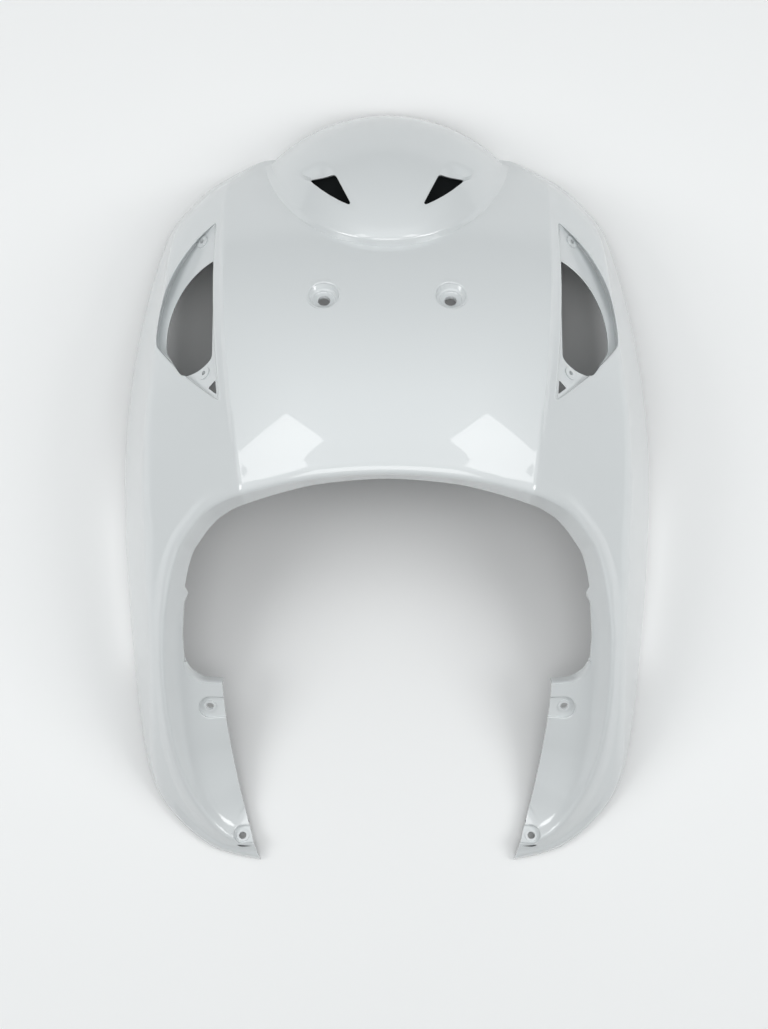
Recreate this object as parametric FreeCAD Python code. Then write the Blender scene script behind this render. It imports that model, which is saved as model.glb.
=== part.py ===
import FreeCAD, Part
import math
import os

# Front fairing of a small scooter: one moulded shell, lying face up.
# X is across, Y is up the vehicle, Z is forward. All sizes in millimetres.

V = FreeCAD.Vector

# Sizes of the shell
wall = 3.0
overall_w = 416.0
overall_h = 598.0
rim_lift = 26.0
draft_deg = 18.0

# Places in plan are drawn at this size, and follow the overall size when it changes
drawn_w = 416.0
drawn_h = 598.0
broad = overall_w / drawn_w
tall = overall_h / drawn_h

# Front face: an arc down the middle, a crown across, and two sloping wings
face_depth = 190.0
face_apex_y = -30.0
face_profile_r = 333.0
face_crown_r = 450.0
wing_deg = 42.0
line_lip_x = 103.0
line_rim_x = 126.0
line_bow = 4.6
line_step = 2.4
line_step_w = 1.6
line_start_y = 4.0
line_start_run = 60.0
line_fade_y = 205.0
line_fade_run = 45.0
line_fade = 0.7

# Lip round the wheel arch and the ledge down each leg
crease_set = 9.0
lip_set = 7.5
flange_deep = 22.0
toe_set = 8.0
ledge_slope_deg = 9.0

# Tip of the leg: below this height the face stops climbing towards the middle, and stays off the ground
leg_low_y = -150.0
leg_low_run = 60.0
leg_face_x = 128.0
leg_face_z = 6.0
leg_face_soft = 10.0

# Notch at the top of each leg ledge, and the tip of the leg
notch_x = 127.6
notch_y = -152.0
notch_lip = 4.5
notch_lip_deep = 9.0
notch_round_x = 17.0
notch_round_y = 22.0
tip_x = 101.5
arch_clear = 5.0
leg_clear = 1.2

# Nose over the top edge
nose_low_y = 186.0
nose_top_y = 299.0
nose_half_w = 93.0
nose_notch_y = 262.0
nose_step = 8.0
nose_start_deg = 30.0
nose_edge = 3.4
nose_rows = 8
nose_turns = [0.0, 0.2, 0.4, 0.6, 0.8, 0.985]

# Vents in the nose
vent_x = 42.0
vent_y = 223.0
vent_scale = 1.0
scoop_deep = 7.0
scoop_tilt_deg = 14.0

# Screw holes to the steering column
column_x = 46.5
column_y = 140.5
column_hole_d = 9.0
column_recess_d = 22.0
column_recess_deep = 7.0

# Indicator pockets
pocket_deep = 16.0
pocket_floor = 3.0
pocket_corner_r = 9.0
tab_hole_d = 3.6
tab_boss_d = 10.0
tab_boss_h = 1.2

# Screw recesses on the leg ledges
leg_hole_d = 6.0
leg_recess_d = 17.0
leg_low_d = 14.0
leg_recess_deep = 3.0

# Rows of control points across the face
face_rows = 6
leg_from = 7.8

# Frames along the half shell, from the middle to the tip of the leg:
# rim point, lip point, flange lean, share of the flange depth, ledge width
drawn_frames = [
    [0.0, 287.0, 0.0, 9.0, 3.0, 1.0, 2.0],
    [62.0, 281.0, 54.0, 5.4, 4.0, 1.0, 2.0],
    [line_rim_x, 250.8, line_lip_x, -4.6, 7.0, 1.0, 2.0],
    [156.5, 226.0, 124.0, -12.0, 8.5, 1.0, 2.0],
    [178.0, 193.0, 136.5, -20.5, 9.5, 1.0, 2.0],
    [198.0, 112.0, 147.5, -33.5, 9.5, 1.0, 2.0],
    [207.0, 34.0, 156.0, -47.0, 9.5, 1.0, 2.0],
    [207.0, -40.0, 163.5, -72.0, 10.0, 1.0, 2.0],
    [203.0, -110.0, 169.3, -112.0, 12.0, 1.0, 44.0],
    [197.0, -178.0, 169.8, -165.0, 12.0, 0.95, 52.0],
    [189.0, -227.0, 164.0, -214.0, 11.0, 0.75, 46.0],
    [172.0, -260.0, 149.5, -251.0, 9.5, 0.42, 34.0],
    [139.0, -288.5, 128.0, -276.5, 9.0, 0.25, 20.0],
    [96.0, -300.0, 97.5, -284.0, 9.0, 0.15, 8.0],
]
frames = [[rim_x * broad, rim_y * tall, lip_x * broad, lip_y * tall] + rest
          for rim_x, rim_y, lip_x, lip_y, *rest in drawn_frames]
half_h = overall_h / 2.0
last_frame = len(frames) - 1.0
stations = [0.0, 0.7, 1.4, 2.0, 2.1, 2.4, 2.8, 3.4, 4.0, 4.6, 5.2, 5.8, 6.3, 6.8, 7.3, 7.8, 8.3,
            8.8, 9.4, 10.0, 10.6, 11.2, 11.8, 12.4, 13.0]

# Heights that every cutter passes, below and above the shell
under = -50.0
over = face_depth + 60.0


def mix(a, b, w):
    return a + (b - a) * w


def ease(w):
    w = max(0.0, min(1.0, w))
    return w * w * (3.0 - 2.0 * w)


def place(x, y):
    """Place in plan, moved from the drawn size to the overall size."""
    return (x * broad, y * tall)


def frame_at(s):
    """Row of the frame table at a place s along the half shell, on a smooth curve."""
    i = min(int(s), len(frames) - 2)
    w = s - i
    a = frames[max(i - 1, 0)]
    b = frames[i]
    c = frames[i + 1]
    d = frames[min(i + 2, len(frames) - 1)]
    row = []
    for k in range(4):
        before = a[k]
        if i == 0:
            before = -c[k] if k in (0, 2) else c[k]
        m0 = (c[k] - before) / 2.0
        m1 = (d[k] - b[k]) / 2.0
        h = (2 * w**3 - 3 * w**2 + 1) * b[k] + (w**3 - 2 * w**2 + w) * m0
        h += (-2 * w**3 + 3 * w**2) * c[k] + (w**3 - w**2) * m1
        row.append(h)
    return row + [mix(b[k], c[k], w) for k in range(4, len(b))]


def line_x(y):
    """Half width of the raised middle panel at a height y."""
    low = frames[2][3]
    w = (y - low) / (frames[2][1] - low)
    bow = line_bow if w > 0 else 0.35 * line_bow
    return mix(frames[2][2], frames[2][0], w) + bow * 4.0 * w * (1.0 - w)


def middle_z(y):
    drop = face_profile_r**2 - (y / tall - face_apex_y)**2
    return face_depth - face_profile_r + math.sqrt(max(drop, 1.0))


def soft_max(a, b):
    return (a + b + math.hypot(a - b, leg_face_soft)) / 2.0


def face_z(x, y):
    """Front face: crowned panel inside the character line, wing outside it."""
    low = ease((leg_low_y - y / tall) / leg_low_run)
    x = mix(abs(x), soft_max(abs(x), leg_face_x * broad), low)
    edge = line_x(y)
    if x <= edge:
        return middle_z(y) - x * x / (2.0 * face_crown_r)
    faded = line_fade * ease((y / tall - line_fade_y) / line_fade_run)
    deep = line_step * ease((y / tall - line_start_y) / line_start_run) * (1.0 - faded)
    out = x - edge
    z = middle_z(y) - edge * edge / (2.0 * face_crown_r)
    z = z - math.tan(math.radians(wing_deg)) * out - deep * ease(out / line_step_w)
    return mix(z, soft_max(z, leg_face_z), low)


def rim_z(y):
    return rim_lift * (1.0 - (y / half_h)**2)**1.2 if abs(y) < half_h else 0.0


def lip_normal(s):
    """Direction in plan from the lip into the wheel arch."""
    a = frame_at(max(s - 0.15, 0.0))
    b = frame_at(min(s + 0.15, last_frame))
    if s == 0.0:
        return V(0, -1, 0)
    along = V(b[2] - a[2], b[3] - a[3], 0)
    along.normalize()
    return V(along.y, -along.x, 0)


def section(s):
    """Outer points of one section of the half shell, rim to ledge, with x positive."""
    rim_x, rim_y, lip_x, lip_y, lean, deep, ledge = frame_at(s)
    deep = deep * flange_deep
    bend = max(0.0, 1.0 - abs(s - 2.0) / 2.0)

    def plan(w):
        y = mix(rim_y, lip_y, w)
        up = (y - frames[2][3]) / (frames[2][1] - frames[2][3])
        return V(mix(rim_x, lip_x, w) + bend * line_bow * 4.0 * up * (1.0 - up), y, 0)

    def on_face(w):
        p = plan(w)
        return V(p.x, p.y, face_z(p.x, p.y))

    length = math.hypot(lip_x - rim_x, lip_y - rim_y)
    ahead = frame_at(min(s + 0.1, last_frame))
    behind = frame_at(max(s - 0.1, 0.0))
    along = V(ahead[0] - behind[0], ahead[1] - behind[1], 0)
    along.normalize()
    rise = 1.0 / math.tan(math.radians(draft_deg))
    base = rim_z(rim_y)
    low = 0.0
    high = 0.9
    for i in range(40):
        mid = (low + high) / 2.0
        far = (plan(mid) - plan(0.0)).cross(along).Length
        if base + rise * far < on_face(mid).z:
            low = mid
        else:
            high = mid
    at_crease = max(low, 0.3 / length)
    foot = plan(0.0)
    foot.z = min(base, face_z(foot.x, foot.y))
    crease = on_face(at_crease)
    wall_len = (crease - foot).Length
    set_wall = min(crease_set, 0.45 * wall_len) / wall_len
    face_len = length * (1.0 - at_crease)
    set_face = at_crease + min(crease_set, 0.3 * face_len) / length
    set_lip = 1.0 - min(lip_set, 0.3 * face_len) / length
    points = [foot, foot + (crease - foot) * (1.0 - set_wall)]
    for i in range(face_rows + 1):
        w = i / face_rows
        flat = mix(on_face(set_face), on_face(set_lip), w)
        points.append(flat if s >= leg_from else on_face(mix(set_face, set_lip, w)))
    lip = on_face(1.0)
    into = lip_normal(s)
    toe = lip + into * lean + V(0, 0, -deep)
    down = (toe - lip).normalize()
    start = points[-1]
    first = lip + down * min(0.5 * deep, lip_set)
    points.append(start * 0.25 + lip * 0.5 + first * 0.25)
    points.append(first)
    level = into + V(0, 0, -math.tan(math.radians(ledge_slope_deg)))
    away = mix(down, level, ease((s - 7.2) / 0.8))
    back = min(toe_set, 0.4 * deep, 0.3 * ledge)
    points.append(toe - down * back)
    points.append(toe + away * back)
    points.append(toe + away * ledge)
    return points


def normals(net):
    """Unit normals at every point of a net, on its outer side."""
    found = []
    for i in range(len(net)):
        row = []
        for j in range(len(net[0])):
            along = net[min(i + 1, len(net) - 1)][j] - net[max(i - 1, 0)][j]
            across = net[i][min(j + 1, len(net[0]) - 1)] - net[i][max(j - 1, 0)]
            n = along.cross(across)
            n.normalize()
            row.append(n)
        found.append(row)
    return found


def offset(net, deep):
    sides = normals(net)
    return [[p - n * deep for p, n in zip(row, ns)] for row, ns in zip(net, sides)]


def surface(net):
    """Surface drawn by a net of control points: straight between two rows, cubic over four."""
    counts = (len(net), len(net[0]))
    degrees = [min(3, n - 1) for n in counts]
    mults = [[d + 1] + [1] * (n - d - 1) + [d + 1] for n, d in zip(counts, degrees)]
    knots = [[float(i) for i in range(len(m))] for m in mults]
    skin = Part.BSplineSurface()
    skin.buildFromPolesMultsKnots(net, mults[0], mults[1], knots[0], knots[1], False, False,
                                  degrees[0], degrees[1])
    return skin


def thick(net, deep, cols, rows, flat=()):
    """Closed solid between a net and the same net moved in, in patches that meet at the given lines."""
    inner_net = offset(net, deep)
    for i in flat:
        for row in inner_net[i:cols[cols.index(i) + 1] + 1]:
            for j, m in zip(rows[:-1], rows[1:]):
                row[j:m] = [mix(row[j], row[m], n / (m - j)) for n in range(m - j)]
    faces = []
    for i, k in zip(cols[:-1], cols[1:]):
        for j, m in zip(rows[:-1], rows[1:]):
            step = m - j if i in flat else 1
            outer = surface([row[j:m + 1:step] for row in net[i:k + 1]])
            faces.append(outer.toShape())
            part = m - j if cols[0] == i or cols[-1] == k else 1
            inner = [surface([row[n:n + part + 1:step] for row in inner_net[i:k + 1]])
                     for n in range(j, m, part)]
            faces += [strip.toShape() for strip in inner]
            u0, u1, v0, v1 = outer.bounds()
            sides = []
            if i == cols[0]:
                sides.append((outer.uIso(u0), inner[0].uIso(u0)))
            if k == cols[-1]:
                sides.append((outer.uIso(u1), inner[0].uIso(u1)))
            if j == rows[0]:
                sides.append((outer.vIso(v0), inner[0].vIso(v0)))
            if m == rows[-1]:
                sides.append((outer.vIso(v1), inner[-1].vIso(inner[-1].bounds()[3])))
            for a, b in sides:
                faces.append(Part.makeRuledSurface(a.toShape(), b.toShape(), 1))
    shell = Part.makeShell(faces)
    shell.sewShape()
    return Part.makeSolid(shell)


def flip(p):
    return V(-p.x, p.y, p.z)


# Main shell: the left half mirrored from the right half, joined at the middle
half = [section(s) for s in stations]
net = [list(row) for row in reversed(half)]
net += [[flip(p) for p in row] for row in half[1:]]
end = len(half) - 1
line_at = stations.index(2.0)
leg_at = stations.index(leg_from)
cols = [0] + [end - i for i in (leg_at, line_at + 1, line_at)]
cols += [end + i for i in (line_at, line_at + 1, leg_at, end)]
face_end = 2 + face_rows
rows = [0, 1, 2] + [face_end + i for i in range(6)]
main = thick(net, wall, cols, rows, (cols[0], cols[-2]))


def top_z(shape, x, y):
    hit = shape.common(Part.makeLine(V(x, y, under), V(x, y, over)))
    return max(v.Z for v in hit.Vertexes)


def on_skin(shape, x, y):
    """Point of a shape's outer skin at a place in plan, and its normal."""
    z = top_z(shape, x, y)
    n = V(z - top_z(shape, x + 1.0, y), z - top_z(shape, x, y + 1.0), 1.0)
    return V(x, y, z), n.normalize()


# Nose: rows run from the foot of its lower edge, over the edge and up to the top rim
nose_w = nose_half_w * broad
low_rise = (nose_notch_y - nose_low_y) * tall
low_r = (nose_w**2 + low_rise**2) / (2.0 * low_rise)
low_c = nose_low_y * tall + low_r
low_turn = math.atan2(nose_w, low_r - low_rise)
top_rise = (nose_top_y - nose_notch_y) * tall
top_r = (nose_w**2 + top_rise**2) / (2.0 * top_rise)
top_c = nose_top_y * tall - top_r
top_turn = math.atan2(nose_w, top_r - top_rise)
start = math.radians(nose_start_deg)


def nose_row(turn):
    """One row of the nose net, at a turn from -1 to 1 across it."""
    out = V(math.sin(turn * low_turn), -math.cos(turn * low_turn), 0)
    low = V(0, low_c, 0) + out * low_r
    top = V(top_r * math.sin(turn * top_turn), top_c + top_r * math.cos(turn * top_turn), 0)
    step = nose_step * (1.0 - 0.75 * turn * turn)
    crest = face_z(low.x, low.y) + step
    row = []
    for out_by, up in ((nose_edge, -0.2), (0.7 * nose_edge, 0.7)):
        p = low + out * out_by
        row.append(V(p.x, p.y, face_z(p.x, p.y) + step * up - (wall * 0.5 if up < 0 else 0.0)))
    for i in range(nose_rows + 1):
        a = mix(start, math.pi / 2.0, i / nose_rows)
        w = (math.sin(a) - math.sin(start)) / (1.0 - math.sin(start))
        p = mix(low, top, w)
        row.append(V(p.x, p.y, crest * math.cos(a) / math.cos(start)))
    return row


nose_net = [nose_row(-t) for t in reversed(nose_turns)] + [nose_row(t) for t in nose_turns[1:]]
nose = thick(nose_net, wall, [0, 2 * len(nose_turns) - 2], list(range(nose_rows + 3)))


def outline(edges):
    return Part.Wire(Part.__sortEdges__(edges))


def arc(a, b, c):
    return Part.Arc(V(a[0], a[1], 0), V(b[0], b[1], 0), V(c[0], c[1], 0)).toShape()


def line(a, b):
    return Part.makeLine(V(a[0], a[1], 0), V(b[0], b[1], 0))


def prism(wire):
    """Cutter through the whole height of the shell."""
    face = Part.Face(wire)
    face.translate(V(0, 0, under))
    return face.extrude(V(0, 0, over - under))


def both(shape):
    return [shape, shape.mirror(V(0, 0, 0), V(1, 0, 0))]


def ground(at, up, level):
    """Big block whose top is the sloping plane at a place, moved up or down by a level."""
    big = overall_w + overall_h
    block = Part.makeBox(big, big, big, V(-big / 2.0, -big / 2.0, -big))
    block.Placement = FreeCAD.Placement(at + V(0, 0, level), FreeCAD.Rotation(V(0, 0, 1), up))
    return block


# Indicator pocket on the right: a walled well with a ledge, two tabs and a drain
tips = [place(131.7, 205.6), place(175.6, 108.0), place(121.8, 62.2)]
well = outline([arc(tips[0], place(164.0, 166.0), tips[1]), arc(tips[1], place(149.3, 82.2), tips[2]),
                arc(tips[2], place(128.9, 125.0), tips[0])])
well_at, well_up = on_skin(main, *place(150.0, 138.0))
ends = [place(131.5, 174.0), place(160.0, 146.0), place(167.5, 102.0), place(153.0, 82.5),
        place(129.6, 96.0)]
eye = outline([arc(ends[0], place(147.0, 163.5), ends[1]), arc(ends[1], place(167.3, 124.0), ends[2]),
               line(ends[2], ends[3]), arc(ends[3], place(141.5, 85.5), ends[4]),
               arc(ends[4], place(130.9, 135.0), ends[0])])
corners = [place(131.5, 72.5), place(126.0, 78.5), place(124.6, 67.5)]
drain = outline([line(corners[i - 1], corners[i]) for i in range(3)])
block = prism(well.makeOffset2D(wall)).cut(ground(well_at, well_up, -pocket_deep - pocket_floor))
inside = offset(net, wall * 0.5)
first = end - leg_at
last = end - stations.index(1.4)
for j in range(face_end + 1):
    strip = surface([row[j:j + 2] for row in inside[first:last + 1]]).toShape()
    block = block.cut(strip.extrude(V(0, 0, over)))
void = prism(well)
corner_x = tips[1][0] - pocket_corner_r / 2.0
void = void.makeFillet(pocket_corner_r, [e for e in void.Edges if e.BoundBox.XMin > corner_x])
void = void.cut(ground(well_at, well_up, -pocket_deep))
voids = [prism(eye), prism(drain)]
for x, y in (place(142.4, 190.4), place(135.0, 84.0)):
    drop = ((x - well_at.x) * well_up.x + (y - well_at.y) * well_up.y) / well_up.z
    foot = V(x, y, well_at.z - pocket_deep - drop)
    low = foot - well_up * tab_boss_h
    void = void.cut(Part.makeCylinder(tab_boss_d / 2.0, 2.0 * tab_boss_h, low, well_up))
    low = foot - well_up * 3.0 * pocket_floor
    voids.append(Part.makeCylinder(tab_hole_d / 2.0, 6.0 * pocket_floor, low, well_up))
voids.append(void)

# Cups for the two screws to the steering column
cup_at, cup_up = on_skin(main, *place(column_x, column_y))
cup_up.x = 0.0
cup_up.normalize()
cup_d = column_recess_d + 2.0 * wall
cup = Part.makeCylinder(cup_d / 2.0, column_recess_deep + wall - 1.0,
                        cup_at - cup_up * (column_recess_deep + wall), cup_up)
bore = Part.makeCylinder(column_recess_d / 2.0, 4.0 * column_recess_deep,
                         cup_at - cup_up * column_recess_deep, cup_up)
bore = bore.fuse(Part.makeCylinder(column_hole_d / 2.0, 4.0 * column_recess_deep,
                                   cup_at - cup_up * 3.0 * column_recess_deep, cup_up))

# Screw seats on the ledge of each leg, each open to the inner edge
seats = []
height = over - under
for spot, edge, size in ((place(138.2, -170.5), 116.0 * broad, leg_recess_d),
                         (place(115.5, -276.0), 97.0 * broad, leg_low_d)):
    x, y = spot
    at, up = on_skin(main, x, y)
    up.x = 0.0
    up.normalize()
    r = size / 2.0
    grown = r + wall
    slot = r - 1.5
    pad = Part.makeCylinder(grown, height, V(x, y, under))
    pad = pad.fuse(Part.makeBox(x - edge, 2.0 * grown, height, V(edge, y - grown, under)))
    pad = pad.cut(ground(at, up, -leg_recess_deep - wall)).common(ground(at, up, -wall / 2.0))
    dip = Part.makeCylinder(r, height, V(x, y, under))
    dip = dip.fuse(Part.makeBox(x - edge, 2.0 * slot, height, V(edge, y - slot, under)))
    dip = dip.cut(ground(at, up, -leg_recess_deep))
    hole = Part.makeCylinder(leg_hole_d / 2.0, 10.0 * wall, at - up * 5.0 * wall, up)
    seats.append((pad, dip, hole))


def opening(grow):
    """Plan outline of the wheel arch and the gap between the legs."""

    def inside_lip(s, clear):
        row = frame_at(s)
        return V(row[2], row[3], 0) + lip_normal(s) * (row[4] + clear)

    half_arch = [inside_lip(float(s), arch_clear) for s in range(8)]
    start = inside_lip(7.35, leg_clear)
    end = inside_lip(8.0, leg_clear)
    points = [flip(p) for p in reversed(half_arch[1:])] + half_arch
    top = Part.BSplineCurve()
    top.interpolate(points)
    edges = [top.toShape()]
    notch = place(notch_x, notch_y)
    tip = place(tip_x, -drawn_h / 2.0 - 1.0)
    past = place(tip_x - 2.0, -drawn_h / 2.0 - 20.0)
    for side in (1.0, -1.0):
        a = (side * end.x, end.y)
        b = (side * (end.x - 0.5), notch[1] + notch_round_y + grow)
        c = (side * (end.x - 5.0 - grow * 0.3), notch[1] + 0.32 * notch_round_y + grow)
        d = (side * (end.x - notch_round_x), notch[1] + 1.0 + grow)
        e = (side * notch[0], notch[1] + grow)
        f = (side * notch[0], notch[1] - 6.0)
        g = (side * (notch[0] - 9.0), notch[1] - 80.0 * tall)
        h = (side * tip[0], tip[1])
        k = (side * past[0], past[1])
        m = (side * half_arch[-1].x, half_arch[-1].y)
        n = (side * start.x, start.y)
        edges += [line(m, n), line(n, a), line(a, b), arc(b, c, d)]
        edges += [line(d, e), line(e, f), arc(f, g, h), line(h, k)]
    edges.append(line(past, (-past[0], past[1])))
    return outline(edges)


arch = prism(opening(0.0))
turn = arch.cut(prism(opening(notch_lip)))
turn_at, turn_up = on_skin(main, *place(140.0, -158.0))
corner = place(notch_x - 1.0, notch_y - 4.0)
slab = Part.makeBox(overall_w, 3.0 * notch_round_y, height, V(corner[0], corner[1], under))
slab = slab.cut(ground(turn_at, turn_up, -wall / 2.0 - notch_lip_deep))
slab = slab.common(ground(turn_at, turn_up, -wall / 2.0))

# Vent through each side of the nose, at the deep side of a hollow that slopes away from it
middle = place(vent_x, vent_y)


def near_vent(x, y):
    return (middle[0] + vent_scale * x, middle[1] + vent_scale * y)


a, b, c = [near_vent(*p) for p in ((16.5, 13.0), (-2.0, 14.8), (-14.0, -10.0))]
vent = prism(outline([line(a, b), line(b, c), arc(c, near_vent(5.6, 2.4), a)]))
edges = [e for e in vent.Edges if abs(e.Vertexes[0].Z - e.Vertexes[-1].Z) > wall]
vent = vent.makeFillet(2.0 * vent_scale, edges)
a, c, e = [near_vent(*p) for p in ((31.0, 22.0), (1.0, 27.0), (-21.4, -17.0))]
scoop = outline([arc(a, near_vent(14.0, 28.5), c), arc(c, near_vent(-12.0, 6.0), e),
                 arc(e, near_vent(6.0, 0.5), a)])
scoop_at, scoop_up = on_skin(nose, *middle)
scoop_up = scoop_up + V(0.6, -0.8, 0) * math.tan(math.radians(scoop_tilt_deg))
scoop_up.normalize()
hollow = prism(scoop).cut(ground(scoop_at, scoop_up, -scoop_deep))
back = prism(scoop.makeOffset2D(wall)).cut(ground(scoop_at, scoop_up, -scoop_deep - wall))
nose_inside = offset(nose_net, wall * 0.5)
back = back.cut(surface([row[2:] for row in nose_inside]).toShape().extrude(V(0, 0, over)))

# Join the pieces of the moulding, then open the holes
main = main.cut(Part.makeCylinder(low_r + nose_edge * 0.35, height, V(0, low_c, under)))
adds = [nose]
for shape in [block, cup, back] + [seat[0] for seat in seats]:
    adds += both(shape)
body = main.fuse(adds)
body = body.cut(arch)
body = body.fuse(both(turn.common(slab)))
cuts = [ground(V(0, 0, 0), V(0, 0, 1), 0.0)]
for pad, dip, hole in seats:
    voids += [dip, hole]
for shape in voids + [bore, hollow, vent]:
    cuts += both(shape)
body = body.cut(cuts)
os.makedirs("parts", exist_ok=True)
body.exportStep("parts/front_fairing.step")
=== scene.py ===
# %% [markdown]
# # The front fairing of a small scooter
# The real part is one injection moulding in ABS plastic, about 0.6 m tall. Its front is sprayed gloss
# white, and its back is bare. It lies face up on its rim, with the nose at the top of the picture.
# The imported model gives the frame: every mesh here is made at the same place, in metres.

# %% Load the frame
import bmesh
import bpy
import math
from mathutils import Matrix, Vector
from mathutils.bvhtree import BVHTree


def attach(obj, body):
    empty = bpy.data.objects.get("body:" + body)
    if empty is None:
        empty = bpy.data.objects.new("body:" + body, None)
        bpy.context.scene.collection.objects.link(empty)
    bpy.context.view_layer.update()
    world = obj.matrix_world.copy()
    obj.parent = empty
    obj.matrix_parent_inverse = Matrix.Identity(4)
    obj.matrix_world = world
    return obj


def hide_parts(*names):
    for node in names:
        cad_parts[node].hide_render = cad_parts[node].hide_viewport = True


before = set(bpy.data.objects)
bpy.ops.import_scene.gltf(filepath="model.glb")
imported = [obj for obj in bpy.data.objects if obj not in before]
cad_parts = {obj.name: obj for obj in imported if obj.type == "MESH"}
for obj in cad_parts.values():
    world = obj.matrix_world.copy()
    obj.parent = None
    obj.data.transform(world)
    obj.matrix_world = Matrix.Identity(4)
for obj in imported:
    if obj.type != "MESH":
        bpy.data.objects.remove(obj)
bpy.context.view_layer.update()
MM = 0.001

# %% [markdown]
# ## Sizes
# A moulding is drawn as sections that run from its rim, over the front and down to the wheel arch.
# The numbers are the part's own, in millimetres. A row of `frames` holds a point of the rim, a point of
# the lip over the arch, how far the flange leans in, how deep it is, and how wide the leg's ledge is.

# %% Sizes of the shell
wall = 3.0
half_w = 208.0
half_h = 299.0
rim_lift = 26.0
draft = math.tan(math.radians(18.0))
face_depth = 190.0
face_apex_y = -30.0
face_profile_r = 333.0
face_crown_r = 450.0
wing_slope = math.tan(math.radians(42.0))
line_lip_x = 103.0
line_rim_x = 126.0
line_bow = 4.6
line_step = 2.4
crease_set = 11.0
lip_set = 9.0
lip_turn = 4.5
bead_w = 11.0
bead_h = 2.8
flange_deep = 22.0
toe_set = 14.0
ledge_slope = math.tan(math.radians(9.0))
frames = [
    [0.0, half_h - 12.0, 0.0, 9.0, 3.0, 1.0, 2.0],
    [62.0, half_h - 18.0, 54.0, 5.4, 4.0, 1.0, 2.0],
    [line_rim_x, 250.8, line_lip_x, -4.6, 7.0, 1.0, 2.0],
    [156.5, 226.0, 124.0, -12.0, 8.5, 1.0, 2.0],
    [178.0, 193.0, 136.5, -20.5, 9.5, 1.0, 2.0],
    [198.0, 112.0, 147.5, -33.5, 9.5, 1.0, 2.0],
    [half_w - 1.0, 34.0, 156.0, -47.0, 9.5, 1.0, 2.0],
    [half_w - 1.0, -40.0, 163.5, -72.0, 10.0, 1.0, 2.0],
    [203.0, -110.0, 169.3, -112.0, 12.0, 1.0, 44.0],
    [197.0, -178.0, 169.8, -165.0, 12.0, 0.95, 52.0],
    [189.0, -227.0, 164.0, -214.0, 11.0, 0.75, 46.0],
    [172.0, -260.0, 149.5, -251.0, 9.5, 0.42, 34.0],
    [139.0, -288.5, 128.0, -276.5, 9.0, 0.25, 20.0],
    [96.0, -half_h - 1.0, 97.5, -284.0, 9.0, 0.15, 8.0],
]
last_frame = len(frames) - 1.0
print("frames along half the shell:", len(frames))

# %% [markdown]
# ## The form of the front
# The panel is an arc down its middle with a crown across. At the character line it drops by a small step
# to a wing that slopes away. These functions give the height of that face at any place in plan. Writing
# the form once, as a formula, lets the mesh be as fine as the gloss paint needs.

# %% Height of the front face
line_start_y, line_start_run = 4.0, 60.0
line_fade_y, line_fade_run, line_fade = 205.0, 45.0, 0.7
line_step_w = 4.0
wing_soft = 2.0
leg_low_y, leg_low_run = -150.0, 60.0
leg_face_x, leg_face_z, leg_face_soft = 128.0, 6.0, 10.0


def mix(a, b, w):
    return a + (b - a) * w


def ease(w):
    w = max(0.0, min(1.0, w))
    return w * w * (3.0 - 2.0 * w)


def line_x(y):
    """Half width of the raised middle panel at a height y."""
    low = frames[2][3]
    w = (y - low) / (frames[2][1] - low)
    bow = line_bow if w > 0 else 0.35 * line_bow
    return mix(line_lip_x, line_rim_x, w) + bow * 4.0 * w * (1.0 - w)


def middle_z(y):
    drop = face_profile_r**2 - (y - face_apex_y)**2
    return face_depth - face_profile_r + math.sqrt(max(drop, 1.0))


def soft_max(a, b):
    return (a + b + math.hypot(a - b, leg_face_soft)) / 2.0


def face_z(x, y):
    low = ease((leg_low_y - y) / leg_low_run)
    x = mix(abs(x), soft_max(abs(x), leg_face_x), low)
    edge = line_x(y)
    out = x - edge
    panel = middle_z(y) - min(x, edge)**2 / (2.0 * face_crown_r)
    if out <= 0.0:
        return panel
    deep = line_step * ease((y - line_start_y) / line_start_run)
    deep *= 1.0 - line_fade * ease((y - line_fade_y) / line_fade_run)
    wing = panel - wing_slope * (math.hypot(out, wing_soft) - wing_soft) - deep * ease(out / line_step_w)
    return mix(wing, soft_max(wing, leg_face_z), low)


def rim_z(y):
    return rim_lift * (1.0 - (y / half_h)**2)**1.2 if abs(y) < half_h else 0.0


print("panel height at its middle:", round(face_z(0.0, 0.0), 1))

# %% [markdown]
# ## One section of the shell
# Each section starts at the rim, climbs the side wall, turns over the crease, crosses the face, rolls over
# the lip bead and goes down the flange. On the legs it turns again into the ledge. A Bevel modifier could
# round the corners, but its width is the same all along. Here each corner gets a short curve that
# leaves one side and meets the other without a kink, and that shrinks where the section gets small.

# %% Section of the shell


def frame_at(s):
    """Row of the frame table at a place s along the half shell, on a smooth curve."""
    i = min(int(s), len(frames) - 2)
    w = s - i
    a, b, c = frames[max(i - 1, 0)], frames[i], frames[i + 1]
    d = frames[min(i + 2, len(frames) - 1)]
    row = []
    for k in range(4):
        before = a[k]
        if i == 0:
            before = -c[k] if k in (0, 2) else c[k]
        m0 = (c[k] - before) / 2.0
        m1 = (d[k] - b[k]) / 2.0
        h = (2 * w**3 - 3 * w**2 + 1) * b[k] + (w**3 - 2 * w**2 + w) * m0
        h += (-2 * w**3 + 3 * w**2) * c[k] + (w**3 - w**2) * m1
        row.append(h)
    return row + [mix(b[k], c[k], w) for k in range(4, len(b))]


def rounded(before, corner, after, count):
    """Points round a corner, the first left out."""
    steps = [i / count for i in range(1, count + 1)]
    return [before * (1 - w)**2 + corner * (2 * w * (1 - w)) + after * w**2 for w in steps]


def straight(a, b, count):
    return [a.lerp(b, i / count) for i in range(1, count + 1)]


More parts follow.
